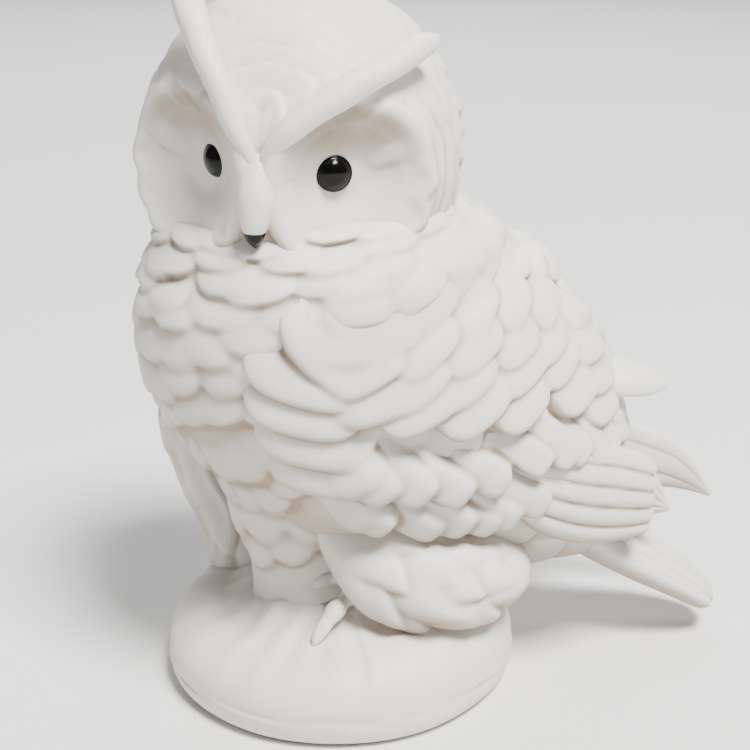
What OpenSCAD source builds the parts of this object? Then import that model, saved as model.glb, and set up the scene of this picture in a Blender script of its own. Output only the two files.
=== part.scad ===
// Horned owl figurine, unglazed porcelain.
// The pieces are cast on their own and luted together before firing.
// Millimetres. Z is up, the foot stands on z = 0 and the owl's breast faces -Y.
// Its head is turned towards its own left side, +X.

/* [Base] */
// Radius of the rocky base at its widest
base_r = 48.5; // [46:0.5:52]
// Height of the top of the mound
base_top = 31; // [30:0.5:33]
// Radius of the drain hole in the underside
drain_r = 6; // [4:0.5:9]

/* [Walls] */
// Thickness of the cast walls
wall = 3.6; // [3:0.1:4.5]
// Gap left at the luted seams
seam = 0.15; // [0.1:0.05:0.3]

/* [Head] */
// How far the head is turned to the owl's left, in degrees
head_turn = 65; // [40:1:75]
// How far the head is cocked to one side, in degrees
head_roll = 3; // [0:1:6]
// Half width of the skull
skull_w = 39.5; // [38:0.5:41]
// Depth of the dished facial discs
dish_depth = 7; // [4:0.5:8]
// Radius of the black eyes
eye_r = 4.4; // [3.5:0.1:5]

/* [Feathers] */
// Thickness of the folded wing over the flank
wing_t = 7; // [5:0.5:9]
// How far the wing tips reach behind the base centre
wing_reach = 96; // [90:1:100]
// How far the tail reaches behind the base centre
tail_reach = 111; // [104:1:114]

/* [Hidden] */
bisque = "ivory";
black = "black";

// Centre of the skull
head_at = [-1.6, -7.8, 146];

// Torso stations from the neck down to the root of the tail:
// [centre y, centre z, tilt of the section, half depth, half width]
TORSO = [
    [-8, 142, 0, 30, 30],
    [-8, 134, 2, 34.5, 33.5],
    [-7.5, 127, 6, 41, 38.5],
    [-5.5, 116, 12, 48, 44],
    [-2, 103, 20, 50.5, 43],
    [9, 89, 32, 52, 42],
    [22, 75, 42, 49.5, 39],
    [41, 63, 50, 43, 33],
    [57, 52, 56, 31, 25],
    [70, 41, 60, 17, 16],
    [79, 33, 62, 6, 7]
];

// ---- curve and skin helpers ----

// Smooth curve through four neighbouring values
function spline4(a, b, c, d, t) =
    0.5 * (2 * b + (c - a) * t + (2 * a - 5 * b + 4 * c - d) * t * t
    + (3 * b - a - 3 * c + d) * t * t * t);

// Value of a table of stations at u, 0 at the first row and 1 at the last
function along(tab, u) =
    let (n = len(tab) - 1, i = min(n - 1, floor(u * n)), t = u * n - i)
    spline4(tab[max(0, i - 1)], tab[i], tab[i + 1], tab[min(n, i + 2)], t);

// Smooth step from 0 to 1 between a and b
function ease(a, b, x) =
    let (t = max(0, min(1, (x - a) / (b - a)))) t * t * (3 - 2 * t);

function unit(v) = v / norm(v);

// Point on the torso at station u and angle f, moved out by off
function torso(u, f, off = 0) =
    let (k = along(TORSO, u), a = k[3] + off, b = k[4] + off)
    [b * cos(f), k[0] + a * sin(f) * cos(k[2]), k[1] + a * sin(f) * sin(k[2])];

// One closed skin over a list of rings that all have the same number of points.
// Each four-sided cell is split on its other diagonal when turn is true.
module skin(rings, turn = false) {
    m = len(rings);
    n = len(rings[0]);
    sides = [for (i = [0:m - 2]) for (j = [0:n - 1])
        let (a = i * n + j, b = i * n + (j + 1) % n)
        each turn ? [[a, b, a + n], [b, b + n, a + n]] : [[a, b, b + n], [a, b + n, a + n]]];
    first = [for (j = [n - 1:-1:0]) j];
    last = [for (j = [0:n - 1]) (m - 1) * n + j];
    polyhedron(points = [for (r = rings) each r], faces = concat([first], sides, [last]));
}

// Ring of an ellipse in the plane of side and up, centred on c
function ring(c, side, up, a, b, n) =
    [for (i = [0:n - 1]) let (t = 360 * i / n) c + side * a * cos(t) + up * b * sin(t)];

// Rings along a path of [x, y, z, half width, half height] stations
function swept(tab, steps, n, flat = [0, 0, 1]) =
    [for (i = [0:steps])
        let (u = i / steps, k = along(tab, u),
             k0 = along(tab, max(0, u - 0.01)), k1 = along(tab, min(1, u + 0.01)),
             dir = unit([k1[0] - k0[0], k1[1] - k0[1], k1[2] - k0[2]]),
             side = unit(cross(dir, flat)), up = cross(side, dir))
        ring([k[0], k[1], k[2]], side, up, k[3], k[4], n)];

// Piece in one mesh, cut back wherever one of its neighbours already fills the space
module fitted() {
    resize([0, 0, 0])
    difference() {
        children(0);
        children([1:$children - 1]);
    }
}

// ---- base ----

module stump_base() {
    color(bisque)
    difference() {
        mound(0);
        mound(wall);
        // drain hole that also vents the kiln gases
        translate([0, 18, -1]) cylinder(r = drain_r, h = wall + 4, $fn = 48);
        vent();
    }
}

// Vent that runs from the hollow of the base up into the hollow of the body
module vent() {
    translate([0, 26, base_top - 14]) cylinder(r = 3.5, h = 30, $fn = 32);
}

// Drum with a rounded foot, cut off by a large ball that gives the sloping top
module mound(inset) {
    r = base_r - inset;
    intersection() {
        rotate_extrude($fn = 96)
        polygon([[0, inset], [r - 5, inset], [r - 1.6, inset + 2.4], [r, 7], [r, 36], [0, 36]]);
        translate([-4, 11, base_top - 98]) sphere(r = 98 - inset, $fn = 96);
    }
}

module broken_trunk() {
    trunk = [
        [-30, -20, 15, 17, 15],
        [-31, -22, 24, 14, 13],
        [-33, -27, 36, 11.5, 11],
        [-34, -32, 48, 10.5, 10],
        [-36, -36, 58, 11, 9.5],
        [-38, -40, 67, 10, 7.5]
    ];
    color("linen")
    fitted() {
        skin(bark(swept(trunk, 14, 24, [0, 1, 0])));
        mound(-seam);
        torso_solid(seam);
    }
}

// Shallow upright folds pressed into a stack of rings
function bark(rings) =
    [for (r = rings) let (n = len(r), c = middle(r))
        [for (i = [0:n - 1]) c + (r[i] - c) * (1 + 0.05 * cos(360 * 5 * i / n))]];

function middle(r, i = 0, s = [0, 0, 0]) =
    i == len(r) ? s / len(r) : middle(r, i + 1, s + r[i]);

// ---- body ----

// Everything inside the outer face of the torso
module torso_solid(off) {
    skin([for (i = [0:20]) [for (j = [0:35]) torso(i / 20, 10 * j, off)]]);
}

module body_shell() {
    n = 36;
    inner = [for (i = [10:-1:0]) [for (j = [0:n - 1]) torso(0.86 * i / 10, 360 * j / n, -wall)]];
    outer = [for (i = [0:20]) [for (j = [0:n - 1]) torso(i / 20, 360 * j / n)]];
    color(bisque)
    fitted() {
        skin(concat(inner, outer));
        mound(-seam);
        vent();
    }
}

// ---- head ----

module on_head() {
    translate(head_at) rotate([0, 0, head_turn]) rotate([0, head_roll, 0]) children();
}

// Direction of the middle of a facial disc, s is 1 for the owl's left
function dish_dir(s) = unit([s * 0.56, -0.86, -0.06]);

// Angle between two directions
function between(a, b) = acos(max(-1, min(1, a * b)));

// Skull radius in the direction d
function skull(d) =
    let (egg = 1 / sqrt(pow(d[0] / skull_w, 2) + pow(d[1] / (skull_w - 1), 2)
                 + pow(d[2] / (skull_w + 1), 2)),
         g = min(between(d, dish_dir(1)), between(d, dish_dir(-1))),
         dish = dish_depth * (1 - ease(7, 28, g)),
         rim = 1.6 * ease(22, 29, g) * (1 - ease(30, 40, g)) * ease(-0.2, 0.5, -d[1]))
    egg - dish + rim;

function skull_ring(p, n, off) =
    [for (j = [0:n - 1]) let (t = 360 * j / n, d = [sin(p) * cos(t), sin(p) * sin(t), cos(p)])
        d * (skull(d) + off)];

// Everything inside the outer face of the skull
module skull_solid(off) {
    on_head() skin([for (i = [1:24]) skull_ring(175 * i / 24, 48, off)]);
}

module head_shell() {
    n = 48;
    rim = 118;
    outer = [for (i = [1:24]) skull_ring(rim * i / 24, n, 0)];
    inner = [for (i = [8:-1:1]) skull_ring(rim * i / 8, n, -wall)];
    color(bisque)
    fitted() {
        on_head() skin(concat(outer, inner));
        torso_solid(seam);
        lens(1, seam);
        lens(-1, seam);
    }
}

module cere(off) {
    stations = [
        [0, -36, 5, 2.4 + off, 2.2 + off],
        [0, -37.8, 0, 4 + off, 4 + off],
        [0, -39.2, -5, 4.6 + off, 4.8 + off],
        [0, -39.8, -10, 3.7 + off, 4 + off],
        [0, -39.8, -13 - off, 2.6 + off, 3 + off]
    ];
    on_head() skin(swept(stations, 10, 20, [0, 1, 0]));
}

module beak() {
    color(bisque)
    fitted() {
        cere(0);
        skull_solid(seam);
        torso_solid(seam);
    }
}

module beak_tip() {
    hook = [
        [0, -39.8, -12.6, 2.6, 2.8],
        [0, -39.7, -14.4, 2.2, 2.3],
        [0, -39.2, -16, 1.1, 1.2],
        [0, -38.8, -17, 0.3, 0.3]
    ];
    color(black)
    fitted() {
        on_head() skin(swept(hook, 8, 16, [0, 1, 0]));
        cere(0.08);
        torso_solid(seam);
    }
}

// Domed eye let into the middle of a facial disc
module lens(s, off) {
    d = unit(s > 0 ? [0.47, -0.86, -0.01] : [-0.4, -0.86, 0.02]);
    dome = [for (i = [0:9]) let (t = 10 * i)
        [(eye_r + off) * cos(t), 0.4 + (2.2 + off) * sin(t)]];
    on_head() translate(d * skull(d))
    rotate([0, acos(d[2]), atan2(d[1], d[0])])
    rotate_extrude($fn = 36)
    polygon(concat([[0, -0.8 - off], [eye_r + off, -0.8 - off]], dome));
}

module left_eye() {
    color(black) lens(1, 0);
}

module right_eye() {
    color(black) lens(-1, 0);
}

// Rounded brow that rises from the bridge of the beak into an ear tuft
module brow_rod(s, spread, lift) {
    rod = [
        [s * 1.4, -38.5, 3.5, 2, 2],
        [s * 6 * spread, -39, 9, 3, 3],
        [s * 13 * spread, -37, 15 + lift * 0.3, 3.8, 3.8],
        [s * 21 * spread, -32, 21 + lift * 0.55, 4.5, 4.3],
        [s * 29 * spread, -24, 26 + lift * 0.8, 4.6, 4.3],
        [s * 35 * spread, -17, 29.5 + lift, 3.4, 3.2],
        [s * 37 * spread, -15, 31 + lift, 1, 1]
    ];
    on_head() skin(swept(rod, 18, 16));
}

module left_brow_tuft() {
    color(bisque)
    fitted() {
        brow_rod(1, 0.95, 0);
        skull_solid(seam);
        cere(seam);
    }
}

module right_brow_tuft() {
    color(bisque)
    fitted() {
        brow_rod(-1, 0.8, 15);
        skull_solid(seam);
        cere(seam);
        brow_rod(1, 0.95, 0);
    }
}

// ---- wings and tail ----

// Folded wing laid over the flank, rounded at the shoulder and narrow at the rear
module wing_pad(s, off) {
    rows = 16;
    n = 14;
    rings = [for (i = [0:rows])
        let (w = i / rows, u = 0.27 + 0.55 * w,
             spread = 58 * (0.3 + 0.7 * ease(-0.02, 0.22, w)) * (1 - 0.42 * ease(0.55, 1, w)),
             mid = 10 + 30 * w, low = mid - spread - 10 * off, high = mid + spread,
             t = wing_t * (0.25 + 0.75 * ease(0, 0.2, w) * (1 - 0.7 * ease(0.6, 1, w))) + off)
        concat(
            [for (j = [0:n]) let (q = j / n, f = low + (high - low) * q)
                side_of(s, torso(u, f, seam + 0.6 + t * pow(sin(180 * q), 0.5)))],
            [for (j = [n:-1:0])
                side_of(s, torso(u, low + (high - low) * j / n, off > 0 ? -1 : seam))])];
    skin(s > 0 ? rings : [for (r = rings) [for (j = [len(r) - 1:-1:0]) r[j]]], s > 0);
}

function side_of(s, p) = [s * p[0], p[1], p[2]];

module left_wing() {
    color("whitesmoke") wing_pad(1, 0);
}

module right_wing() {
    color("whitesmoke") wing_pad(-1, 0);
}

// Long flight feathers that leave the rear of the wing and cross over the tail.
// The right ones lie on top and reach further back.
module vane(s) {
    reach = s > 0 ? wing_reach - 4 : wing_reach + 14;
    tip_x = s > 0 ? 12 : -3;
    tip_z = s > 0 ? 43 : 40;
    quill = [
        [s * 37, 47, 65, 3.6, 9],
        [s * 34, 57, 60.5, 3.4, 12],
        [s * 28.5, 69, 56.5, 3, 12.5],
        [s * 21, 81, 52, 2.5, 10.5],
        [s * 11 + tip_x * 0.4, reach - 9, tip_z + 6, 2, 6.5],
        [tip_x, reach, tip_z, 0.6, 1]
    ];
    skin(swept(quill, 16, 16));
}

module left_primaries() {
    color("whitesmoke")
    fitted() {
        vane(1);
        wing_pad(1, seam);
    }
}

module right_primaries() {
    color("whitesmoke")
    fitted() {
        vane(-1);
        wing_pad(-1, seam);
    }
}

module fan(off) {
    quill = [
        [0, 60, 42, 13, 6.5],
        [0, 72, 34, 13.5, 7],
        [1, 86, 25, 12.5, 6],
        [2, 99, 16, 11, 5],
        [3, tail_reach - 3, 9, 7, 3.5],
        [3.5, tail_reach, 6.5, 2, 1]
    ];
    skin(swept([for (q = quill) [q[0], q[1], q[2], q[3] + off, q[4] + off]], 16, 20));
}

module tail_feathers() {
    color("whitesmoke")
    fitted() {
        fan(0);
        torso_solid(seam);
        mound(-seam);
    }
}

// ---- legs ----

module plume(s, off) {
    rings = [
        [s * 22, 2, 36, 8, 8],
        [s * 25, 11, 35, 12.5, 13],
        [s * 26, 23, 34.5, 13.5, 14.5],
        [s * 24, 34, 34, 11.5, 12],
        [s * 21, 43, 33, 6, 7],
        [s * 20, 47, 32.5, 1.5, 1.5]
    ];
    skin(swept([for (q = rings) [q[0], q[1], q[2], q[3] + off, q[4] + off]], 14, 20));
}

module thigh(s) {
    color(bisque)
    fitted() {
        plume(s, 0);
        torso_solid(seam);
        mound(-seam);
        wing_pad(s, seam);
        vane(s);
    }
}

module left_thigh() {
    thigh(1);
}

module right_thigh() {
    thigh(-1);
}

// One knuckled toe from the ankle down over the mound
module toe(from, to) {
    mid = (from + to) / 2 + [0, 0, 1.6];
    path = [
        [from[0], from[1], from[2], 3, 3],
        [mid[0], mid[1], mid[2], 2.9, 2.9],
        [to[0], to[1], to[2], 2.3, 2.3],
        [to[0] + (to[0] - mid[0]) * 0.4, to[1] + (to[1] - mid[1]) * 0.4, to[2] - 3, 0.5, 0.5]
    ];
    skin(swept(path, 10, 14));
}

module foot(s) {
    color("linen")
    fitted() {
        union() {
            toe([s * 21.5, 4, 31.5], [s * 28.2, -8, 26]);
            toe([s * 14.5, 4, 33.2], [s * 11.4, -9, 30]);
        }
        mound(-seam);
        plume(s, seam);
        torso_solid(seam);
    }
}

module left_foot() {
    foot(1);
}

module right_foot() {
    foot(-1);
}

stump_base();
broken_trunk();
body_shell();
head_shell();
beak();
beak_tip();
left_eye();
right_eye();
left_brow_tuft();
right_brow_tuft();
left_wing();
right_wing();
left_primaries();
right_primaries();
tail_feathers();
left_thigh();
right_thigh();
left_foot();
right_foot();
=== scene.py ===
"""Owl figurine in unglazed porcelain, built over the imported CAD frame.

Shapes are worked out in millimetres with the same curves as the CAD and turned into metres
when a mesh is made. Feathers are overlapping lobes pressed out of each casting's skin.
"""

import math

import bpy
import numpy as np
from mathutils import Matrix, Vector


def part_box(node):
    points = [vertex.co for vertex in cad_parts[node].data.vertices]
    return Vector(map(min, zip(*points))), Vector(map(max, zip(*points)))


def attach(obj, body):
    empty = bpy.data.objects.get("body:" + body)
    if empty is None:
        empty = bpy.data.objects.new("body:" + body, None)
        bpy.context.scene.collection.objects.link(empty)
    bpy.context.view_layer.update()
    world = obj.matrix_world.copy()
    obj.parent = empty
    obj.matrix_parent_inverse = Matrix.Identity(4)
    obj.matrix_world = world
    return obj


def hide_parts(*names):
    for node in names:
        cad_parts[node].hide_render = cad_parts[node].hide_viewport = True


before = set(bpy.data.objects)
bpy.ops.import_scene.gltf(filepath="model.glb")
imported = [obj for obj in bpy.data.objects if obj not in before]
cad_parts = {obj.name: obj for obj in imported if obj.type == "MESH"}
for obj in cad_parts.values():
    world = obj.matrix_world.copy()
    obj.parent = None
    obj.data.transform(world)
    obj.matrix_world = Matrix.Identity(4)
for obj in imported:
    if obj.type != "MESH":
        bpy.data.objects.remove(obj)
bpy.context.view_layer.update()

MM = 0.001
RNG = np.random.default_rng(7)

# ---- sizes shared with the CAD, in millimetres ----

BASE_R = 48.5
BASE_TOP = 31.0
DRAIN_R = 6.0
DRAIN_Y = 18.0
WALL = 3.6
BALL_R = 98.0
BALL_AT = np.array([-4.0, 11.0, BASE_TOP - BALL_R])
HEAD_AT = np.array([-1.6, -7.8, 146.0])
HEAD_TURN = 65.0
HEAD_ROLL = 3.0
SKULL_W = 39.5
DISH_DEPTH = 7.0
EYE_R = 4.4

# Wing: the first torso station that it covers, the stations it runs over and its half spread
# in degrees
WING_FROM = 0.27
WING_RUN = 0.55
WING_SPREAD = 58.0

# Torso stations: centre y, centre z, tilt of the section, half depth, half width
TORSO = np.array([
    [-8, 142, 0, 30, 30],
    [-8, 134, 2, 34.5, 33.5],
    [-7.5, 127, 6, 41, 38.5],
    [-5.5, 116, 12, 48, 44],
    [-2, 103, 20, 50.5, 43],
    [9, 89, 32, 52, 42],
    [22, 75, 42, 49.5, 39],
    [41, 63, 50, 43, 33],
    [57, 52, 56, 31, 25],
    [70, 41, 60, 17, 16],
    [79, 33, 62, 6, 7],
], float)

# ---- sizes of the feathered skins, in millimetres ----

# Width of the base's rounded rim, height of its rounded foot and how far that foot turns in
RIM = 15.0
FOOT_H = 6.0
FOOT_IN = 5.5
# How far each bare skin lies under the CAD's torso or thigh, to leave room for its feathers
BODY_SUNK = 1.6
WING_SUNK = 1.8
THIGH_SUNK = 3.8
# How far the hidden back of a wing lies inside the flank, and how far its coverts are raised
WING_BACK = 3.2
WING_LIFT = 2.2
# The brow ridges are slimmer than in the CAD
BROW_SLIM = 0.8
# How far the eyes lie behind the middle of their CAD boxes
EYE_SUNK = 1.2


# ---- curves and surfaces ----

def along(table, u):
    """Smooth value of a table of stations at u, 0 at its first row and 1 at its last."""
    table = np.asarray(table, float)
    n = len(table) - 1
    u = np.clip(np.asarray(u, float), 0, 1) * n
    i = np.minimum(n - 1, u.astype(int))
    t = (u - i)[..., None]
    a, b, c, d = (table[np.clip(i + k, 0, n)] for k in (-1, 0, 1, 2))
    return 0.5 * (2 * b + (c - a) * t + (2 * a - 5 * b + 4 * c - d) * t**2
                  + (3 * b - a - 3 * c + d) * t**3)


def ease(a, b, x):
    """Smooth step from 0 to 1 between a and b."""
    t = np.clip((np.asarray(x, float) - a) / (b - a), 0, 1)
    return t * t * (3 - 2 * t)


def unit(v):
    """Vectors along the last axis, scaled to a length of 1."""
    v = np.asarray(v, float)
    return v / np.maximum(np.linalg.norm(v, axis=-1, keepdims=True), 1e-9)


def torso(u, f, off=0.0):
    """Point on the torso at station u and angle f in degrees, moved out by off."""
    k = along(TORSO, u)
    f = np.radians(f)
    tilt = np.radians(k[..., 2])
    a, b = k[..., 3] + off, k[..., 4] + off
    return np.stack([b * np.cos(f), k[..., 0] + a * np.sin(f) * np.cos(tilt),
                     k[..., 1] + a * np.sin(f) * np.sin(tilt)], -1)


def swept(table, steps, n, flat=(0, 0, 1)):
    """Grid of elliptical rings along a path of x, y, z, half width, half height stations."""
    u = np.linspace(0, 1, steps + 1)
    k = along(table, u)
    run = unit(along(table, u + 0.01)[:, :3] - along(table, u - 0.01)[:, :3])
    side = unit(np.cross(run, flat))
    up = np.cross(side, run)
    t = np.linspace(0, 2 * np.pi, n, endpoint=False)
    return (k[:, None, :3] + side[:, None] * (k[:, 3, None] * np.cos(t))[..., None]
            + up[:, None] * (k[:, 4, None] * np.sin(t))[..., None])


def normals(grid):
    """Outward unit normals of a grid whose second axis closes on itself."""
    down = np.gradient(grid, axis=0)
    across = np.roll(grid, -1, 1) - np.roll(grid, 1, 1)
    return unit(np.cross(down, across))


def ripple(points, size, seed, count=10):
    """Smooth repeatable noise between about -1 and 1 with bumps of that size."""
    rng = np.random.default_rng(seed)
    way = unit(rng.normal(size=(count, 3))) * 2 * np.pi / (size * rng.uniform(0.7, 1.5, (count, 1)))
    shift = rng.uniform(0, 2 * np.pi, count)
    return np.sin(points @ way.T + shift).sum(-1) / math.sqrt(count)


def smooth_grid(values, rounds):
    """Averages a grid of heights with its neighbours, the second axis closing on itself."""
    for _ in range(rounds):
        values = (values + np.roll(values, 1, 1) + np.roll(values, -1, 1)) / 3
        edge = np.concatenate([values[:1], values, values[-1:]])
        values = (edge[:-2] + edge[1:-1] + edge[2:]) / 3
    return values


# ---- feather lobes ----

def lobe(tip_at, normal, way, half, length, tip, root=0.3, point=0.0, blunt=1.0, square=3.4):
    """One feather lobe: where its tip lies, which way it points, its half width and length,
    how high its tip and root stand, how pointed it is, how long its rounded end is and how
    flat it lies across."""
    way = unit(way - normal * np.dot(way, normal))
    return (tip_at, normal, way, half, length, tip, root * tip, point, blunt, square)


def relief(points, lobes, floor=0.02, power=9):
    """Height of a coat of overlapping lobes above each point of a skin."""
    total = np.full(len(points), floor**power)
    for at, normal, way, half, length, tip, root, point, blunt, square in lobes:
        d = points - at
        s = d @ way
        near = np.nonzero((s < 0) & (s > -length))[0]
        d = d[near]
        s = s[near]
        t = d @ np.cross(normal, way)
        near_t = (np.abs(t) < half) & (np.abs(d @ normal) < 0.6 * length + half)
        near, s, t = near[near_t], s[near_t], t[near_t]
        end = min(half * blunt, length)
        e = np.clip((s + end) / end, 0, 1)
        wide = half * (1 - point * e**1.3)
        body = np.clip(1 - (np.abs(t) / wide)**square - e**2.2, 0, 1)**0.38
        rise = 1 + s / length
        height = body * (root + (tip - root) * rise**1.3) * ease(0, 0.3, rise)
        total[near] += height**power
    return total**(1 / power)


def folds(high, smooth):
    """How deep each point lies below the ones around it, 0 to 1, near by and farther off."""
    near = np.clip((smooth(high, 5) - high) / 0.7, 0, 1)
    broad = np.clip((smooth(high, 20) - high) / 1.8, 0, 1)
    return np.clip(0.65 * near + 0.6 * broad, 0, 1)


def feathered(grid, lobes, lean=0.45, soften=1, base=0.0, flow=None):
    """Grid with lobes raised on it, and how deep each point lies between its neighbours."""
    out = normals(grid)
    shape = grid.shape[:2]
    high = relief(grid.reshape(-1, 3), lobes).reshape(shape)
    high = smooth_grid(high, soften)
    if flow is None:
        flow = unit(np.gradient(grid, axis=0))
    # how deep each point lies between the lobes, used as painted shade
    hollow = folds(high, smooth_grid)
    moved = grid + out * (high + base)[..., None] + flow * (lean * high)[..., None]
    return moved, hollow


# ---- meshes ----

def closed_faces(m, n, first=0):
    """Faces of an m by n grid closed round its second axis, with a fan over each end."""
    index = np.arange(m * n).reshape(m, n) + first
    a, b = index[:-1], index[1:]
    quads = np.stack([a, b, np.roll(b, -1, 1), np.roll(a, -1, 1)], -1).reshape(-1, 4).tolist()
    start, end = first + m * n, first + m * n + 1
    top, low = index[0], index[-1]
    quads += [(start, int(p), int(q)) for p, q in zip(top, np.roll(top, -1))]
    quads += [(end, int(q), int(p)) for p, q in zip(low, np.roll(low, -1))]
    return quads


def piece(name, grids, material, slot, *nodes):
    """One mesh from closed grids, each with its hollows kept for the painted shade, that stands for
    those CAD nodes.
    """
    points, faces, hollows = [], [], []
    for grid, hollow in grids:
        m, n = grid.shape[:2]
        faces += closed_faces(m, n, sum(len(p) for p in points))
        points.append(np.concatenate([grid.reshape(-1, 3), grid[:1].mean(1), grid[-1:].mean(1)]))
        if hollow is None:
            hollow = np.zeros((m, n))
        else:
            # painted shade: faces that look down get the same warm dark tone as the painted shade
            # in the folds
            hollow = np.clip(hollow + 0.7 * ease(0.15, -0.85, normals(grid)[..., 2]), 0, 1)
        hollows.append(np.concatenate([hollow.ravel(), [hollow[0].mean(), hollow[-1].mean()]]))
    mesh = bpy.data.meshes.new(name)
    mesh.from_pydata((np.concatenate(points) * MM).tolist(), [], faces)
    mesh.shade_smooth()
    # the hollow attribute holds how much painted shade each point gets
    layer = mesh.attributes.new("hollow", "FLOAT", "POINT")
    layer.data.foreach_set("value", np.concatenate(hollows).astype(np.float32))
    mesh.materials.append(material)
    made = bpy.data.objects.new(name, mesh)
    bpy.context.scene.collection.objects.link(made)
    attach(made, "root")
    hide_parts(*nodes)
    return made


# ---- materials ----

def node(tree, kind, **values):
    """A shader node with the given sockets set."""
    made = tree.nodes.new(kind)
    for key, value in values.items():
        made.inputs[key.replace("_", " ")].default_value = value
    return made


def mix(tree, fac, a, b, blend="MIX"):
    """Colour a mixed with colour b by fac; each may be a colour or an output socket."""
    made = tree.nodes.new("ShaderNodeMix")
    made.data_type = "RGBA"
    made.blend_type = blend
    for socket, value in ((made.inputs[0], fac), (made.inputs[6], a), (made.inputs[7], b)):
        if isinstance(value, bpy.types.NodeSocket):
            tree.links.new(value, socket)
        else:
            socket.default_value = value
    return made.outputs[2]


def spread(tree, socket, low, high, to_low, to_high):
    """Map Range from low..high to to_low..to_high, clamped."""
    made = node(tree, "ShaderNodeMapRange", From_Min=low, From_Max=high, To_Min=to_low,
                To_Max=to_high)
    tree.links.new(socket, made.inputs["Value"])
    return made.outputs["Result"]


def noise(tree, where, scale, detail=3.0, rough=0.5):
    """Noise texture, 0 to 1, over the given coordinates."""
    made = node(tree, "ShaderNodeTexNoise", Scale=scale, Detail=detail, Roughness=rough)
    tree.links.new(where, made.inputs["Vector"])
    return made.outputs["Fac"]


def bisque_material():
    """White unglazed porcelain: satin, faintly translucent, with warm grey-brown painted shade in
    folds and on faces that look down.
    """
    mat = bpy.data.materials.new("bisque")
    mat.use_nodes = True
    tree = mat.node_tree
    shader = tree.nodes["Principled BSDF"]
    where = tree.nodes.new("ShaderNodeTexCoord").outputs["Object"]
    hollow = tree.nodes.new("ShaderNodeAttribute")
    hollow.attribute_name = "hollow"
    body = mix(tree, spread(tree, noise(tree, where, 22.0), 0.35, 0.65, 0.0, 1.0),
               (0.74, 0.715, 0.67, 1), (0.71, 0.675, 0.62, 1))
    # painted shade: the hollow attribute mixes the porcelain towards warm brown in folds and on
    # faces that look down
    fold = spread(tree, hollow.outputs["Fac"], 0.04, 0.8, 0.0, 0.92)
    body = mix(tree, fold, body, (0.27, 0.195, 0.125, 1))
    speck = spread(tree, noise(tree, where, 900.0, 1.0), 0.79, 0.83, 0.0, 0.55)
    body = mix(tree, speck, body, (0.16, 0.13, 0.11, 1))
    tree.links.new(body, shader.inputs["Base Color"])
    rough = spread(tree, noise(tree, where, 140.0), 0.3, 0.7, 0.46, 0.60)
    tree.links.new(rough, shader.inputs["Roughness"])
    shader.inputs["Subsurface Weight"].default_value = 0.22
    shader.inputs["Subsurface Radius"].default_value = (1.0, 0.82, 0.64)
    shader.inputs["Subsurface Scale"].default_value = 0.0022
    shader.inputs["Specular IOR Level"].default_value = 0.42
    bump = node(tree, "ShaderNodeBump", Strength=0.25, Distance=0.0003)
    tree.links.new(noise(tree, where, 650.0, 4.0, 0.6), bump.inputs["Height"])
    tree.links.new(bump.outputs["Normal"], shader.inputs["Normal"])
    return mat


def black_material():
    """Glossy black glaze, pooled a little unevenly."""
    mat = bpy.data.materials.new("black_glaze")
    mat.use_nodes = True
    tree = mat.node_tree
    shader = tree.nodes["Principled BSDF"]
    where = tree.nodes.new("ShaderNodeTexCoord").outputs["Object"]
    tint = spread(tree, noise(tree, where, 300.0), 0.4, 0.7, 0.0, 1.0)
    body = mix(tree, tint, (0.002, 0.002, 0.002, 1), (0.006, 0.005, 0.005, 1))
    tree.links.new(body, shader.inputs["Base Color"])
    rough = spread(tree, noise(tree, where, 420.0), 0.3, 0.7, 0.10, 0.20)
    tree.links.new(rough, shader.inputs["Roughness"])
    shader.inputs["Specular IOR Level"].default_value = 0.14
    shader.inputs["Coat Weight"].default_value = 0.08
    shader.inputs["Coat Roughness"].default_value = 0.05
    return mat


# ---- base ----

def mound_top(x, y, inset=0.0):
    """Height of the mound's sloping top."""
    r = BALL_R - inset
    return BALL_AT[2] + np.sqrt(np.maximum(r * r - (x - BALL_AT[0])**2 - (y - BALL_AT[1])**2, 0))


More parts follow.
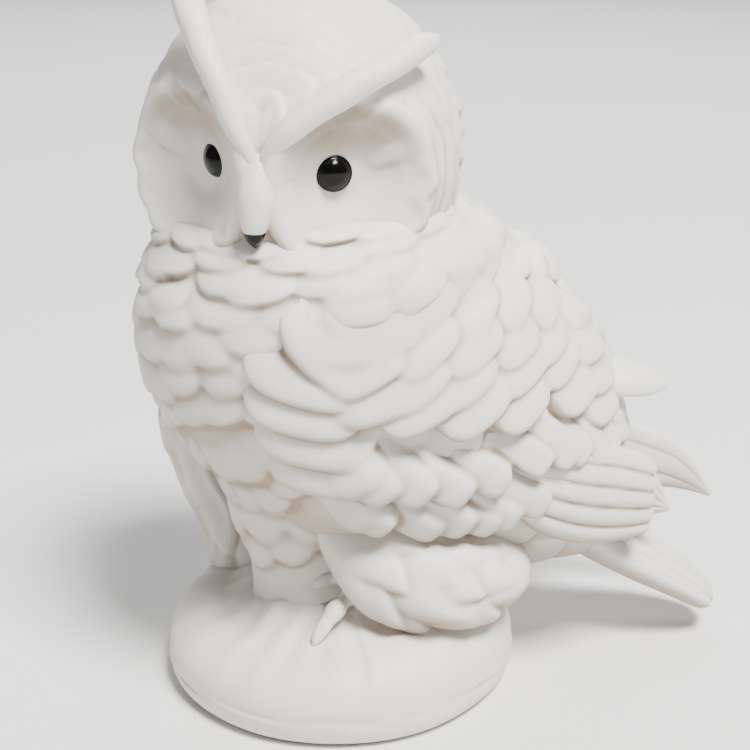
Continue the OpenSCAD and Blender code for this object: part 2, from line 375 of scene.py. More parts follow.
def base_skin():
    """Rocky mound: outside, flat foot ring, drain hole and hollow inside, as one skin."""
    n = 300
    th = np.linspace(0, 2 * np.pi, n, endpoint=False)
    c, s = np.cos(th), np.sin(th)
    circle = np.stack([c, s, np.zeros(n)], -1)
    rim_r = BASE_R - 0.35 + 0.35 * ripple(circle, 0.9, 3)
    rim_z = mound_top(rim_r * c, rim_r * s)
    rows = []

    def row(r, z):
        rows.append(np.stack([r * c, r * s, np.broadcast_to(z, (n,))], -1))

    # the top, from its middle out to the rounded rim
    for k in np.linspace(0.004, 1, 110):
        r = k * (rim_r - RIM)
        x, y = r * c, r * s
        at = np.stack([x, y, np.zeros(n)], -1)
        flute = ripple(np.stack([th * 16, 0 * th, 0 * th], -1) + [0, k * 0.5, 0], 3.2, 5)
        soft = 1.0 * ripple(at, 26, 11) + 0.5 * ripple(at, 10, 12) + 0.2 * ripple(at, 5, 13)
        z = mound_top(x, y) - 0.4 + soft * ease(1.0, 0.75, k) + 0.45 * flute * ease(0.4, 0.8, k)
        row(r, z)
    last = rows[-1][:, 2]
    # the rounded rim and the wall
    drop = (last - FOOT_H) * 0.78
    for a in np.linspace(0.12, 1, 16):
        turn = a * np.pi / 2
        row(rim_r - RIM + RIM * np.sin(turn), last - drop * (1 - np.cos(turn)))
    low = rows[-1][:, 2]
    for a in np.linspace(0.08, 1, 14):
        row(rim_r + 0.3 * ripple(circle * 4 + [0, 0, a], 1.2, 9) * math.sin(math.pi * a),
            low + (FOOT_H - low) * a)
    # the rounded foot and the flat ring that the object stands on
    for a in np.linspace(0.15, 1, 9):
        turn = a * np.pi / 2
        row(rim_r - FOOT_IN * (1 - np.cos(turn)), FOOT_H * (1 - np.sin(turn)))
    for r, z in ((7.0, 0.0), (9.0, 0.0), (9.6, 0.35), (10.4, 0.8), (14.0, 0.8)):
        row(BASE_R - r, z)
    # the drain hole, off the middle, and the hollow
    for r, z in ((DRAIN_R + 1.2, 0.8), (DRAIN_R + 0.4, 1.0), (DRAIN_R, 1.6), (DRAIN_R, WALL - 0.5),
                 (DRAIN_R + 0.6, WALL)):
        row(r, z)
        rows[-1] = rows[-1] + [0, DRAIN_Y, 0]
    for r, z in ((BASE_R - WALL - 8, WALL), (BASE_R - WALL - 2.5, WALL + 2.4),
                 (BASE_R - WALL - 0.6, 8.0)):
        row(r, z)
    for k in (1.0, 0.85, 0.6, 0.35, 0.12):
        r = k * (BASE_R - WALL - 1.0)
        row(r, np.maximum(mound_top(r * c, r * s, WALL) - 2.5, 8.6))
    return np.array(rows), None


def trunk_skin():
    """Broken trunk with bark folds, a long crack and a spread foot."""
    path = [
        [-29, -17, 12, 20, 16],
        [-30.5, -20.5, 21, 15, 13.6],
        [-32, -24, 30, 12.2, 11.6],
        [-33.5, -29, 40, 10.6, 10.4],
        [-34.5, -33, 50, 10.2, 9.8],
        [-36, -36.5, 59, 10.8, 9.4],
        [-38, -39.5, 65.5, 10.2, 7.6],
        [-38.4, -40, 67, 7.5, 5.2],
    ]
    steps, n = 150, 190
    grid = swept(path, steps, n, (0, 1, 0))
    out = normals(grid)
    u = np.linspace(0, 1, steps + 1)[:, None]
    t = np.linspace(0, 2 * np.pi, n, endpoint=False)[None]
    wander = 0.35 * np.sin(5 * u + 1) + 0.18 * np.sin(13 * u)
    folds = 0.55 * np.cos(5 * (t + wander)) + 0.32 * np.cos(9 * (t - 1.4 * wander) + 2)
    off_crack = np.angle(np.exp(1j * (t - 3.2 - wander)))
    crack = -1.5 * np.exp(-(off_crack / 0.10)**2) * ease(0.1, 0.3, u)
    knob = 1.3 * np.exp(-(((t - 2.5) / 0.25)**2 + ((u - 0.45) / 0.05)**2))
    knob = knob + 1.6 * np.exp(-(((t - 3.7) / 0.3)**2 + ((u - 0.24) / 0.06)**2))
    rough = 0.4 * ripple(grid, 12, 21) + 0.08 * ripple(grid, 5, 22)
    high = folds + crack + knob + rough
    high = high * ease(1.0, 0.93, u)
    # how deep each point lies in the bark, used as painted shade in its folds
    hollow = np.clip((smooth_grid(high, 6) - high) / 0.9, 0, 1)
    return grid + out * high[..., None], hollow


# ---- body ----

def torso_frame(u, f, off=0.0):
    """Point, outward normal, downstream direction and sideways direction on the torso."""
    at = torso(u, f, off)
    down = torso(u + 0.004, f, off) - torso(u - 0.004, f, off)
    across = torso(u, f + 0.6, off) - torso(u, f - 0.6, off)
    return at, unit(np.cross(down, across)), unit(down), unit(across)


def coat_row(u, start, stop, count, half, length, tip, shift=0.5, jitter=0.13, uneven=0.006,
             **more):
    """A row of lobes across the torso at u between two angles, a little uneven."""
    lobes = []
    step = (stop - start) / count
    for k in range(count):
        f = start + (k + shift + RNG.uniform(-jitter, jitter)) * step
        at, out, down, across = torso_frame(u + RNG.uniform(-uneven, uneven), f, -BODY_SUNK)
        way = down + across * RNG.uniform(-0.12, 0.12)
        size = RNG.uniform(0.88, 1.14)
        lobes.append(lobe(at, out, way, half * size, length * size,
                          tip * RNG.uniform(0.85, 1.15), **more))
    return lobes


def body_lobes():
    """Ruff, breast and back feathers in rows round the torso."""
    lobes = []
    # ruff: broad thin crescents in close rows all the way round
    for k, u in enumerate((0.182, 0.222, 0.263, 0.303)):
        lobes += coat_row(u, -180, 180, 18 + k % 2, 8.4 + 0.4 * k, 9.5, 3.4 + 0.15 * k,
                          shift=0.5 * (k % 2), jitter=0.3, uneven=0.017, root=0.0, blunt=0.65,
                          square=2.6)
    # breast: larger rounded lobes
    for k, (u, half) in enumerate(((0.345, 9.4), (0.39, 9.2), (0.438, 9.0), (0.488, 8.6),
                                   (0.538, 8.0))):
        lobes += coat_row(u, -172, -18, 12 - k % 2, half - 0.8, 14.5, 4.3,
                          shift=0.5 * (k % 2), root=0.0, blunt=0.85, jitter=0.22, uneven=0.013,
                          square=2.3)
    # back: long rows that run down to the rump
    for k, u in enumerate((0.338, 0.377, 0.42, 0.465, 0.515, 0.565, 0.62, 0.68, 0.74, 0.80, 0.86,
                           0.92)):
        lobes += coat_row(u, 5, 175, 9 if k < 7 else 7, 9.8 - 0.35 * k, 15, 5.0 - 0.14 * k,
                          shift=0.5 * (k % 2), root=0.0, blunt=0.75)
    # undertail: soft ridges
    for k, u in enumerate((0.72, 0.79, 0.86, 0.93)):
        lobes += coat_row(u, -170, -10, 6, 6.5, 14, 1.6, shift=0.5 * (k % 2), root=0.3)
    return lobes


def body_skin():
    """Torso from inside the neck to the root of the tail, with its coat of feathers."""
    steps, n = 222, 380
    u = np.linspace(0.125, 1, steps + 1)[:, None]
    f = np.linspace(0, 360, n, endpoint=False)[None]
    grid = torso(*np.broadcast_arrays(u, f), -BODY_SUNK)
    soft = 0.35 * ripple(grid, 17, 31)
    grid = grid + normals(grid) * soft[..., None]
    return feathered(grid, body_lobes(), lean=0.5, soften=1)


def keel_skin():
    """Lower belly that comes down between the legs on to the rock."""
    path = [
        [0, -15, 78, 24, 20],
        [0, -14, 65, 23, 19],
        [0, -12, 53, 18.5, 18],
        [0, -9.5, 42, 15.5, 16.5],
        [0, -7.5, 34, 14, 17.5],
        [0, -5, 27, 16, 21],
    ]
    n, count = 120, 9
    grid = swept(path, 88, n, (0, 1, 0))
    out = normals(grid)
    lobes = []
    for k, i in enumerate((18, 32, 46, 60)):
        for j in range(count):
            at = (i + int(RNG.integers(-3, 4)), int((j + 0.5 * (k % 2)) * n / count) % n)
            lobes.append(lobe(grid[at], out[at], [0, 0.1, -1.0], 7.5, 14, 2.2, root=0.0, point=0.3,
                              blunt=1.2, square=2.2))
    return feathered(grid, lobes, lean=0.3, soften=2)


# ---- head ----

# Direction of the bridge of the beak in the head's own frame
BRIDGE = unit([0, -0.995, 0.10])


def turned(points):
    """From the head's own frame, face towards -Y, to where the head sits."""
    r, t = math.radians(HEAD_ROLL), math.radians(HEAD_TURN)
    roll = np.array([[math.cos(r), 0, math.sin(r)], [0, 1, 0], [-math.sin(r), 0, math.cos(r)]])
    turn = np.array([[math.cos(t), -math.sin(t), 0], [math.sin(t), math.cos(t), 0], [0, 0, 1]])
    return points @ (turn @ roll).T + HEAD_AT


def between(a, b):
    """Angle in degrees between directions."""
    return np.degrees(np.arccos(np.clip(a @ b, -1, 1)))


def dish_dir(s):
    """Direction of the middle of a facial disc, s is 1 for the owl's left."""
    return unit([s * 0.56, -0.86, -0.06])


def skull(d):
    """Skull radius in direction d, with the two dished facial discs."""
    egg = 1 / np.sqrt((d[..., 0] / SKULL_W)**2 + (d[..., 1] / (SKULL_W - 1))**2
                      + (d[..., 2] / (SKULL_W + 1))**2)
    g = np.minimum(between(d, dish_dir(1)), between(d, dish_dir(-1)))
    front = ease(-0.2, 0.5, -d[..., 1])
    dish = DISH_DEPTH * (1 - ease(7, 28, g))
    rim = 1.6 * ease(22, 29, g) * (1 - ease(30, 40, g)) * front
    return egg - dish + rim


def head_frame(d):
    """Point and outward normal on the skull in direction d, in the head's frame."""
    d = unit(d)
    a = unit(np.cross(d, [0.3, 0.2, 0.9]))
    b = np.cross(d, a)
    e = 0.02

    def at(v):
        v = unit(v)
        return v * skull(v)

    out = unit(np.cross(at(d + e * a) - at(d - e * a), at(d + e * b) - at(d - e * b)))
    return at(d), out if out @ d > 0 else -out


def turn_about(axis, from_dir, angle, round_by):
    """Direction at an angle from axis, turned round it by round_by degrees from from_dir."""
    side = unit(from_dir - axis * np.dot(from_dir, axis))
    other = np.cross(axis, side)
    a, r = math.radians(angle), math.radians(round_by)
    return axis * math.cos(a) + (side * math.cos(r) + other * math.sin(r)) * math.sin(a)


def head_lobes():
    """Scallops in rings round each disc, on the forehead and down the back of the head."""
    lobes = []
    up = np.array([0.0, 0, 1])
    # rings of small feathers outside the discs
    for s in (1, -1):
        centre = dish_dir(s)
        other = dish_dir(-s)
        for k, (g, tip) in enumerate(((32, 2.0), (39.5, 2.3), (47.5, 2.4))):
            count = 20 + 3 * k
            for j in range(count):
                d = turn_about(centre, up, g + RNG.uniform(-0.6, 0.6), 360 * (j + 0.5 * k) / count)
                if between(d, other) < 33 or d[2] > 0.42:
                    continue
                at, out = head_frame(d)
                lobes.append(lobe(at, out, d - centre, 5.2 * RNG.uniform(0.9, 1.25), 8,
                                  tip * RNG.uniform(0.8, 1.15), root=0.0, blunt=0.7))
    # forehead and crown: arcs that spread from the bridge of the beak over to the nape
    for k, g in enumerate(range(16, 100, 8)):
        width = 5.2 if g < 50 else 7.5
        radius = math.sin(math.radians(g)) * 40
        count = max(7, int(2 * math.pi * radius / (width * 1.55)))
        for j in range(count):
            d = turn_about(BRIDGE, up, g + RNG.uniform(-0.8, 0.8),
                           360 * (j + 0.5 * (k % 2)) / count)
            face = min(between(d, dish_dir(1)), between(d, dish_dir(-1)))
            if face < (33 if d[2] > 0.25 else 50) or d[2] < -0.75 or (g < 60 and d[2] < 0.15):
                continue
            if d[1] > 0.1 and d[2] < 0.7:
                continue
            at, out = head_frame(d)
            tip = 1.4 if g < 60 else 1.6 + 0.8 * ease(60, 110, g)
            lobes.append(lobe(at, out, d - BRIDGE, width * RNG.uniform(0.9, 1.15), 8 + 0.03 * g,
                              tip * RNG.uniform(0.8, 1.2), root=0.2, blunt=0.9))
    # back of the head: rows that hang down to the nape
    reach = 84
    for k, e in enumerate(range(52, -42, -8)):
        count = max(5, int(math.radians(2 * reach) * math.cos(math.radians(e)) * 40 / 10.5))
        for j in range(count):
            a = math.radians(-reach + (j + 0.5 * (k % 2)) * 2 * reach / count + RNG.uniform(-2, 2))
            b = math.radians(e + RNG.uniform(-2.2, 2.2))
            d = np.array([math.sin(a) * math.cos(b), math.cos(a) * math.cos(b), math.sin(b)])
            at, out = head_frame(d)
            lobes.append(lobe(at, out, 0.25 * d - up, 7 * RNG.uniform(0.9, 1.15), 11,
                              2.2 * RNG.uniform(0.85, 1.15), root=0.0, blunt=0.75))
    return lobes


def head_skin():
    """Head from the crown down into the neck, with its discs and scallops."""
    steps, n = 200, 400
    p = np.radians(np.linspace(0.6, 150, steps + 1))[:, None]
    t = np.linspace(0, 2 * np.pi, n, endpoint=False)[None]
    d = np.stack([np.sin(p) * np.cos(t), np.sin(p) * np.sin(t), np.cos(p) * np.ones_like(t)], -1)
    radius = skull(d)
    # thin scalloped lip round the lower half of each disc, and faint rays inside it
    for s in (1, -1):
        centre = dish_dir(s)
        g = between(d, centre)
        side = unit(np.cross([0, 0, 1.0], centre))
        above = np.cross(centre, side)
        turn = np.arctan2(d @ above, d @ side)
        wave = 0.9 * np.sin(turn * 13 + s) + 0.5 * np.sin(turn * 7)
        lip = np.exp(-((g - 27.5 - wave) / 1.9)**2) * ease(0.45, -0.1, np.sin(turn))
        other = between(d, dish_dir(-s))
        radius = radius + 1.7 * lip * ease(40, 50, other)
        rays = np.sin(turn * 40) * ease(12, 20, g) * ease(28, 24, g)
        radius = radius + 0.015 * rays
    grid = d * radius[..., None]
    flow = unit(d - BRIDGE)
    grid, hollow = feathered(grid, head_lobes(), lean=0.3, soften=1, base=-0.4, flow=flow)
    g = np.minimum(between(d, dish_dir(1)), between(d, dish_dir(-1)))
    # the upper part of each disc lies in the shade of its brow
    shade = 0.34 * ease(7, 18, g) * ease(31, 25, g) * ease(0.0, 0.35, d[..., 2])
    hollow = np.clip(hollow + shade, 0, 1)
    return turned(grid), hollow


BEAK = [
    [0, -36, 5, 2.4, 2.2],
    [0, -37.8, 0, 4, 4],
    [0, -39.2, -5, 4.6, 4.8],
    [0, -39.8, -10, 3.7, 4],
    [0, -39.8, -13, 2.6, 3],
]
BEAK_TIP = [
    [0, -39.8, -12.2, 2.5, 2.8],
    [0, -39.8, -12.6, 2.7, 3.0],
    [0, -39.7, -14.4, 2.2, 2.3],
    [0, -39.2, -16, 1.1, 1.2],
    [0, -38.8, -17, 0.3, 0.3],
]


def rod_path(s, spread_by, lift):
    """Stations of a brow ridge from the bridge of the beak up into its ear tuft."""
    return [
        [s * 1.2, -37.6, 1.5, 1.6, 1.6],
        [s * 1.8, -38.5, 3.5, 2.2, 2.2],
        [s * 6 * spread_by, -39, 9, 3, 3],
        [s * 13 * spread_by, -37, 15 + lift * 0.3, 3.8, 3.8],
        [s * 21 * spread_by, -32, 21 + lift * 0.55, 4.5, 4.3],
        [s * 29 * spread_by, -24, 26 + lift * 0.8, 4.6, 4.3],
        [s * 35 * spread_by, -17, 29.5 + lift, 3.4, 3.2],
        [s * 37 * spread_by, -15, 31 + lift, 1, 1],
    ]


def rod_skin(s, spread_by, lift):
    """Brow ridge, faintly uneven along its length."""
    slim = [[x, y, z, BROW_SLIM * a, BROW_SLIM * b]
            for x, y, z, a, b in rod_path(s, spread_by, lift)]
    grid = swept(slim, 90, 64)
    grid = grid + normals(grid) * (0.22 * ripple(grid, 11, 41 + s))[..., None]
    return turned(grid), None


def eye_skin(s):
    """Glazed dome with a slightly raised edge, let into its socket."""
    box_low, box_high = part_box("left_eye" if s > 0 else "right_eye")
    centre = (np.array(box_low) + np.array(box_high)) / 2 / MM
    d = unit([0.47, -0.86, -0.01] if s > 0 else [-0.4, -0.86, 0.02])
    out = unit(turned(d) - HEAD_AT)
    centre = centre - out * EYE_SUNK
    side = unit(np.cross(out, [0, 0, 1.0]))
    up = np.cross(side, out)
    t = np.linspace(0, 2 * np.pi, 64, endpoint=False)
    rows = []
    # radius and height of each ring, from the middle of the dome to its hidden back
    profile = [(0.5, 2.75), (1.3, 2.62), (2.2, 2.3), (3.0, 1.8), (3.6, 1.25), (3.95, 0.95),
               (4.15, 0.9), (4.3, 0.75), (EYE_R, 0.4), (EYE_R, -0.3), (3.6, -0.8)]
    for r, h in profile:
        ring = side * np.cos(t)[:, None] * r + up * np.sin(t)[:, None] * r
        rows.append(centre + ring + out * h)
    return np.array(rows)[:, ::-1], None


# ---- wings ----

def wing_frame(s, w, q):
    """Point, normal, rearward and upward directions on the flank under a wing."""
    def at(w, q):
        w = np.asarray(w, float)
        wide = WING_SPREAD * (0.3 + 0.7 * ease(-0.02, 0.22, w)) * (1 - 0.42 * ease(0.55, 1, w))
        f = 10 + 30 * w + wide * (2 * np.asarray(q, float) - 1)
        return torso(WING_FROM + WING_RUN * w, f) * [s, 1, 1]

    back = at(np.asarray(w) + 0.004, q) - at(np.asarray(w) - 0.004, q)
    up = at(w, np.asarray(q) + 0.004) - at(w, np.asarray(q) - 0.004)
    out = unit(np.cross(back, up)) * s
    back = unit(back)
    up = unit(up - back * (up * back).sum(-1, keepdims=True))
    return at(w, q), out, back, up


def wing_lobes(s):
    """Rows of coverts that hang down and back from the upper edge of the wing."""
    lobes = []

    def row(line, count, half, length, tip, fall, **more):
        """Lobes whose tips lie along a line of (w, q) points; half runs from front to rear."""
        line = np.array(line, float)
        for k in range(count):
            a = k / (count - 1)
            w, q = along(line, a) + RNG.uniform(-0.01, 0.01, 2)
            at, out, back, up = wing_frame(s, w, q)
            turn = math.radians(fall + RNG.uniform(-6, 6))
            way = back * math.cos(turn) - up * math.sin(turn)
            size = RNG.uniform(0.92, 1.1)
            wide = half[0] + (half[1] - half[0]) * min(1, 1.6 * a)
            high = tip * RNG.uniform(0.94, 1.07) * (0.45 + 0.55 * float(ease(0.05, 0.3, w)))
            lobes.append(lobe(at, out, way, wide * size, length * size, high,
                              **{"root": 0.0, "blunt": 0.68, **more}))

    # mantle and upper coverts: wide shelves
    row([(0.10, 0.98), (0.3, 0.92), (0.5, 0.95), (0.8, 1.0)], 7, (10, 9), 20, 4.4, 14)
    row([(0.03, 0.45), (0.15, 0.52), (0.30, 0.62), (0.45, 0.70), (0.62, 0.80), (0.9, 0.95)], 8,
        (10, 9), 20, 4.9, 20)
    row([(0.10, 0.30), (0.20, 0.38), (0.30, 0.45), (0.43, 0.52), (0.55, 0.60), (0.70, 0.70),
         (0.90, 0.82)], 9, (11, 9), 19, 5.4, 24)
    row([(0.20, 0.30), (0.32, 0.34), (0.43, 0.40), (0.54, 0.48), (0.66, 0.57), (0.80, 0.67),
         (0.97, 0.78)], 8, (11, 9), 18, 5.8, 26)
    # shoulder: wide crescents stacked down the front edge
    for w, q in ((0.20, 0.24), (0.265, 0.17), (0.33, 0.11), (0.40, 0.06), (0.47, 0.01)):
        at, out, back, up = wing_frame(s, w, q)
        turn = math.radians(58)
        lobes.append(lobe(at, out, back * math.cos(turn) - up * math.sin(turn), 15.5, 15, 6.3,
                          root=0.05, blunt=0.62))
    row([(0.38, 0.27), (0.46, 0.32), (0.56, 0.38), (0.66, 0.43), (0.78, 0.53), (0.90, 0.61),
         (1.02, 0.70)], 7, (12, 8.5), 20, 6.4, 30)
    # middle and lower coverts: finger-like lobes
    row([(0.50, 0.10), (0.58, 0.13), (0.68, 0.17), (0.76, 0.25), (0.84, 0.31), (0.93, 0.37),
         (1.02, 0.46), (1.08, 0.54)], 12, (5.8, 5.0), 23, 5.8, 20, blunt=1.0)
    row([(0.58, -0.01), (0.66, -0.02), (0.74, -0.02), (0.81, -0.02), (0.88, 0.04), (0.97, 0.14),
         (1.04, 0.26), (1.09, 0.38)], 12, (5.6, 4.8), 23, 4.8, 22, blunt=1.0)
    return lobes


def wing_skin(s):
    """Wing patch: sunk into the flank, and raised wherever a feather covers it."""
    rows, cols, inner = 250, 250, 10
    low_q, high_q = -0.12, 1.10
    w = np.linspace(-0.02, 1.10, rows)[:, None]
    q = np.linspace(low_q, high_q, cols)[None]
    at, out, back, up = wing_frame(s, *np.broadcast_arrays(w, q))
    high = relief(at.reshape(-1, 3), wing_lobes(s)).reshape(rows, cols)
    high = smooth_open(high + WING_LIFT * ease(0.3, 2.5, high) * ease(0.0, 0.3, w), 1)
    # painted shade in the folds between the raised coverts
    hollow = folds(high, smooth_open) * ease(0.5, 2.0, high)
    way = unit(back - 0.9 * up)
    outer = at + out * (high - WING_SUNK)[..., None] + way * (0.35 * high)[..., None]
    inside = wing_frame(s, *np.broadcast_arrays(w, np.linspace(high_q, low_q, inner)[None]))
    under = inside[0] - inside[1] * WING_BACK
    grid = np.concatenate([outer, under], 1)
    hollow = np.concatenate([hollow, np.zeros((rows, inner))], 1)
    if s < 0:
        grid, hollow = grid[:, ::-1], hollow[:, ::-1]
    return grid, hollow


def leaf_skin():
    """Pointed feather that stands off the rear of the left wing."""
    at, out = wing_frame(1, 0.87, 0.83)[:2]
    way = unit([0.10, 1, -0.23])
    path = [[*(at + out * off + way * run), half, thick] for run, off, half, thick in (
        (-13, 0.5, 3.4, 1.6), (-6, 2.8, 5.4, 2.6), (0, 4.0, 6.0, 3.0), (5, 4.4, 5.4, 2.8),
        (10, 4.2, 3.8, 2.2), (14, 3.6, 1.5, 1.2), (15.2, 3.4, 0.4, 0.4))]
    return swept(path, 60, 60, tuple(out)), None


def smooth_open(values, rounds):
    """Averages a grid of heights with its neighbours, with no closing edge."""
    for _ in range(rounds):
        for axis in (0, 1):
            edge = np.pad(values, [(1, 1) if a == axis else (0, 0) for a in (0, 1)], mode="edge")
            cut = [slice(None), slice(None)]
            parts = []
            for k in (0, 1, 2):
                cut[axis] = slice(k, k + values.shape[axis])
                parts.append(edge[tuple(cut)])
            values = sum(parts) / 3
    return values


def vane_skin(s):
    """Long flight feathers lying against each other, with a groove between each."""
    reach = 92 if s > 0 else 112
    tip_x, tip_z = (12, 43) if s > 0 else (-3, 39)
    quill = [
        [s * 28, 36, 64, 1.5, 5],
        [s * 29.5, 47, 61, 3, 11],
        [s * 28, 58, 57.5, 3.2, 13.5],
        [s * 25, 69, 54.5, 3, 13.5],
        [s * 19.5, 81, 50.5, 2.5, 11],
        [s * 11 + tip_x * 0.4, reach - 9, tip_z + 6, 2, 7.5],
        [tip_x, reach, tip_z, 0.6, 1],
    ]
    steps, n = 120, 160
    grid = swept(quill, steps, n)
    u = np.linspace(0, 1, steps + 1)[:, None]
    t = np.linspace(0, 2 * np.pi, n, endpoint=False)[None]
    across = np.sin(t) + 0.25 * u
    count, depth = (2.4, 0.9) if s > 0 else (1.2, 0.5)
    groove = np.abs(np.sin(across * np.pi * count + 0.6))**0.6 - 0.65
    high = depth * groove * ease(1.0, 0.8, u) * np.abs(np.cos(t))**0.5
    # painted shade in the grooves between the flight feathers
    hollow = np.clip(-high * 1.6, 0, 1)
    return grid + normals(grid) * high[..., None], hollow


def fan_skin():
    """Tail with a raised rib down its middle and the edges of the feathers beside it."""
    quill = [
        [0, 60, 42, 13, 6.5],
        [0, 72, 34, 14, 7.5],
        [1, 86, 25, 14, 7],
        [2, 99, 17, 12.5, 6],
        [3, 108, 10, 8.5, 4],
        [3.5, 111, 7.5, 3, 1.5],
    ]
    steps, n = 130, 180
    grid = swept(quill, steps, n)
    u = np.linspace(0, 1, steps + 1)[:, None]
    t = np.linspace(0, 2 * np.pi, n, endpoint=False)[None]
    across = np.cos(t)
    rib = 1.2 * np.exp(-(across / 0.16)**2)
    steps_down = 0.7 * (np.abs(across * 2.6) % 1.0 - 0.5)
    high = (rib + steps_down) * ease(1.0, 0.85, u) * (0.35 + 0.65 * (np.sin(t) > 0))
    high = smooth_grid(high, 1)
    # painted shade in the steps beside the rib
    hollow = np.clip((smooth_grid(high, 5) - high) / 0.7, 0, 1)
    return grid + normals(grid) * (high - 0.3)[..., None], hollow


# ---- legs ----

def plume_skin(s):
    """Feathered thigh: pointed lobes that sweep back."""
    rings = [
        [s * 15, -9, 54, 3, 3],
        [s * 20, -1, 45, 9, 10],
        [s * 24.5, 10, 38.5, 13, 14],
        [s * 26, 22, 35.5, 13.5, 14.5],
        [s * 24, 34, 34, 11.5, 12],
        [s * 21, 43, 33, 6, 7],
        [s * 20, 47, 32.5, 1.5, 1.5],
    ]
    steps, n = 140, 200
    grid = swept([[x, y, z, max(1.5, a - THIGH_SUNK), max(1.5, b - THIGH_SUNK)]
                  for x, y, z, a, b in rings], steps, n)
    out = normals(grid)
    flow = unit(np.gradient(grid, axis=0))
    lobes = []
    count = 6
    for k, i in enumerate((48, 74, 100, 124)):
        for j in range(count):
            row = i + int(RNG.integers(-4, 5))
            turn = j + 0.5 * (k % 2) + RNG.uniform(-0.15, 0.15)
            at = (row, int(turn * n / count) % n)
            lobes.append(lobe(grid[at], out[at], flow[at] + [0, 0, -0.45], 7.6, 30, 7.2,
                              root=0.0, point=0.6, blunt=1.9, square=1.6))
    return feathered(grid, lobes, lean=0.5, soften=1)


def toe_skin(start, end, thick):
    """Knuckled toe that grips the rock and ends in a blunt claw."""
    start, end = np.array(start, float), np.array(end, float)
    rows = []
    for a in np.linspace(0, 1, 9):
        p = start + (end - start) * a
        p[2] += 2.2 * math.sin(math.pi * a) * 0.9
        knuckle = 1 + 0.16 * math.cos(2 * math.pi * (a * 2.2 - 0.55))
        r = thick * knuckle * (1 - 0.35 * a)
        rows.append([*p, r, r * 0.95])
    run = unit(end - start)
    rows.append([*(end + run * 2.2 + [0, 0, -1.2]), thick * 0.42, thick * 0.4])
    rows.append([*(end + run * 3.2 + [0, 0, -2.4]), thick * 0.12, thick * 0.12])
    grid = swept(rows, 70, 40)
    return grid + normals(grid) * (0.12 * ripple(grid, 5, 61))[..., None], None


def foot_skins(s):
    """The two toes of a foot."""
    return [toe_skin([s * 19.2, 3, 31], [s * 28.2, -10, 24.8], 3.0),
            toe_skin([s * 16.6, 3, 32.5], [s * 11.4, -12, 28.4], 2.8)]


# ---- putting it together ----

bisque = bisque_material()
black = black_material()

piece("mound", [base_skin()], bisque, "bisque", "stump_base")
piece("trunk", [trunk_skin()], bisque, "bisque", "broken_trunk")
piece("body", [body_skin(), keel_skin()], bisque, "bisque", "body_shell")
piece("head", [head_skin()], bisque, "bisque", "head_shell")
piece("bill", [(turned(swept(BEAK, 60, 56, (0, 1, 0))), None)], bisque, "bisque", "beak")
piece("bill_tip", [(turned(swept(BEAK_TIP, 30, 40, (0, 1, 0))), None)], black, "black_glaze",
      "beak_tip")
piece("eye_left", [eye_skin(1)], black, "black_glaze", "left_eye")
piece("eye_right", [eye_skin(-1)], black, "black_glaze", "right_eye")
piece("brow_left", [rod_skin(1, 0.95, 0)], bisque, "bisque", "left_brow_tuft")
piece("brow_right", [rod_skin(-1, 0.8, 15)], bisque, "bisque", "right_brow_tuft")
piece("wing_left", [wing_skin(1), leaf_skin()], bisque, "bisque", "left_wing")
piece("wing_right", [wing_skin(-1)], bisque, "bisque", "right_wing")
piece("quills_left", [vane_skin(1)], bisque, "bisque", "left_primaries")
piece("quills_right", [vane_skin(-1)], bisque, "bisque", "right_primaries")
piece("tail", [fan_skin()], bisque, "bisque", "tail_feathers")
piece("thigh_left", [plume_skin(1)], bisque, "bisque", "left_thigh")
piece("thigh_right", [plume_skin(-1)], bisque, "bisque", "right_thigh")
piece("foot_left", foot_skins(1), bisque, "bisque", "left_foot")
piece("foot_right", foot_skins(-1), bisque, "bisque", "right_foot")


# ---- stage, light and camera ----

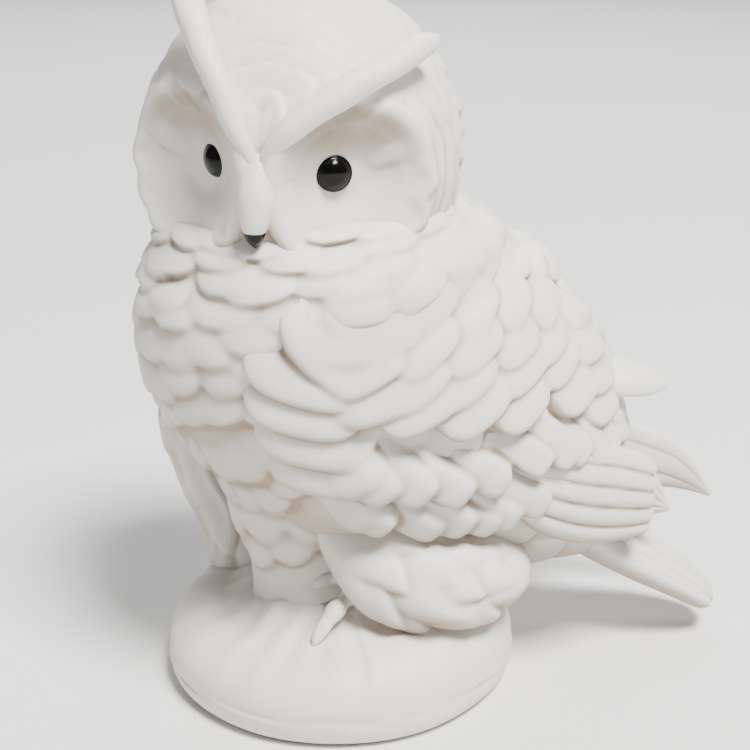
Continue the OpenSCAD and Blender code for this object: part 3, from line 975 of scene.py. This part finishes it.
def floor():
    """Plain pale floor."""
    size = 3.0
    mesh = bpy.data.meshes.new("floor")
    mesh.from_pydata([(-size, -size, 0), (size, -size, 0), (size, size, 0), (-size, size, 0)], [],
                     [(0, 1, 2, 3)])
    mat = bpy.data.materials.new("floor")
    mat.use_nodes = True
    shader = mat.node_tree.nodes["Principled BSDF"]
    shader.inputs["Base Color"].default_value = (0.75, 0.75, 0.75, 1)
    shader.inputs["Roughness"].default_value = 0.9
    mesh.materials.append(mat)
    made = bpy.data.objects.new("floor", mesh)
    bpy.context.scene.collection.objects.link(made)


def soft_light(name, azimuth, elevation, distance, size, watts, colour, aim):
    """Square soft box that looks at aim from the given direction."""
    az, el = math.radians(azimuth), math.radians(elevation)
    way = Vector((math.sin(az) * math.cos(el), -math.cos(az) * math.cos(el), math.sin(el)))
    lamp = bpy.data.lights.new(name, "AREA")
    lamp.size = size
    lamp.energy = watts
    lamp.color = colour
    made = bpy.data.objects.new(name, lamp)
    made.location = aim + way * distance
    made.rotation_euler = way.to_track_quat("Z", "Y").to_euler()
    bpy.context.scene.collection.objects.link(made)


def camera(azimuth, elevation, distance, field, aim):
    """Camera that looks at aim from the given direction."""
    az, el = math.radians(azimuth), math.radians(elevation)
    way = Vector((math.sin(az) * math.cos(el), -math.cos(az) * math.cos(el), math.sin(el)))
    made = bpy.data.objects.new("camera", bpy.data.cameras.new("camera"))
    made.data.angle = math.radians(field)
    made.data.clip_start = 0.01
    made.location = aim + way * distance
    made.rotation_euler = way.to_track_quat("Z", "Y").to_euler()
    bpy.context.scene.collection.objects.link(made)
    bpy.context.scene.camera = made


VIEW_AZ, VIEW_EL = 78.0, 19.0
middle = Vector((0.010 * math.cos(math.radians(VIEW_AZ)), 0.010 * math.sin(math.radians(VIEW_AZ)),
                 0.085))
camera(VIEW_AZ, VIEW_EL, 0.373, 30.0, middle)
floor()
soft_light("key", VIEW_AZ + 34, 60, 2.0, 0.6, 132.0, (1.0, 0.98, 0.95), middle)
soft_light("fill", VIEW_AZ - 60, 25, 1.0, 0.8, 0.4, (1.0, 0.94, 0.88), middle)
away = Vector((-math.sin(math.radians(VIEW_AZ)), math.cos(math.radians(VIEW_AZ)), 0)) * 1.9
soft_light("floor_wash", VIEW_AZ, 89, 1.5, 2.4, 60.0, (1.0, 1.0, 1.0), away)
world = bpy.data.worlds.new("studio")
bpy.context.scene.world = world
world.use_nodes = True
world.node_tree.nodes["Background"].inputs["Color"].default_value = (1, 1, 1, 1)
world.node_tree.nodes["Background"].inputs["Strength"].default_value = 0.13
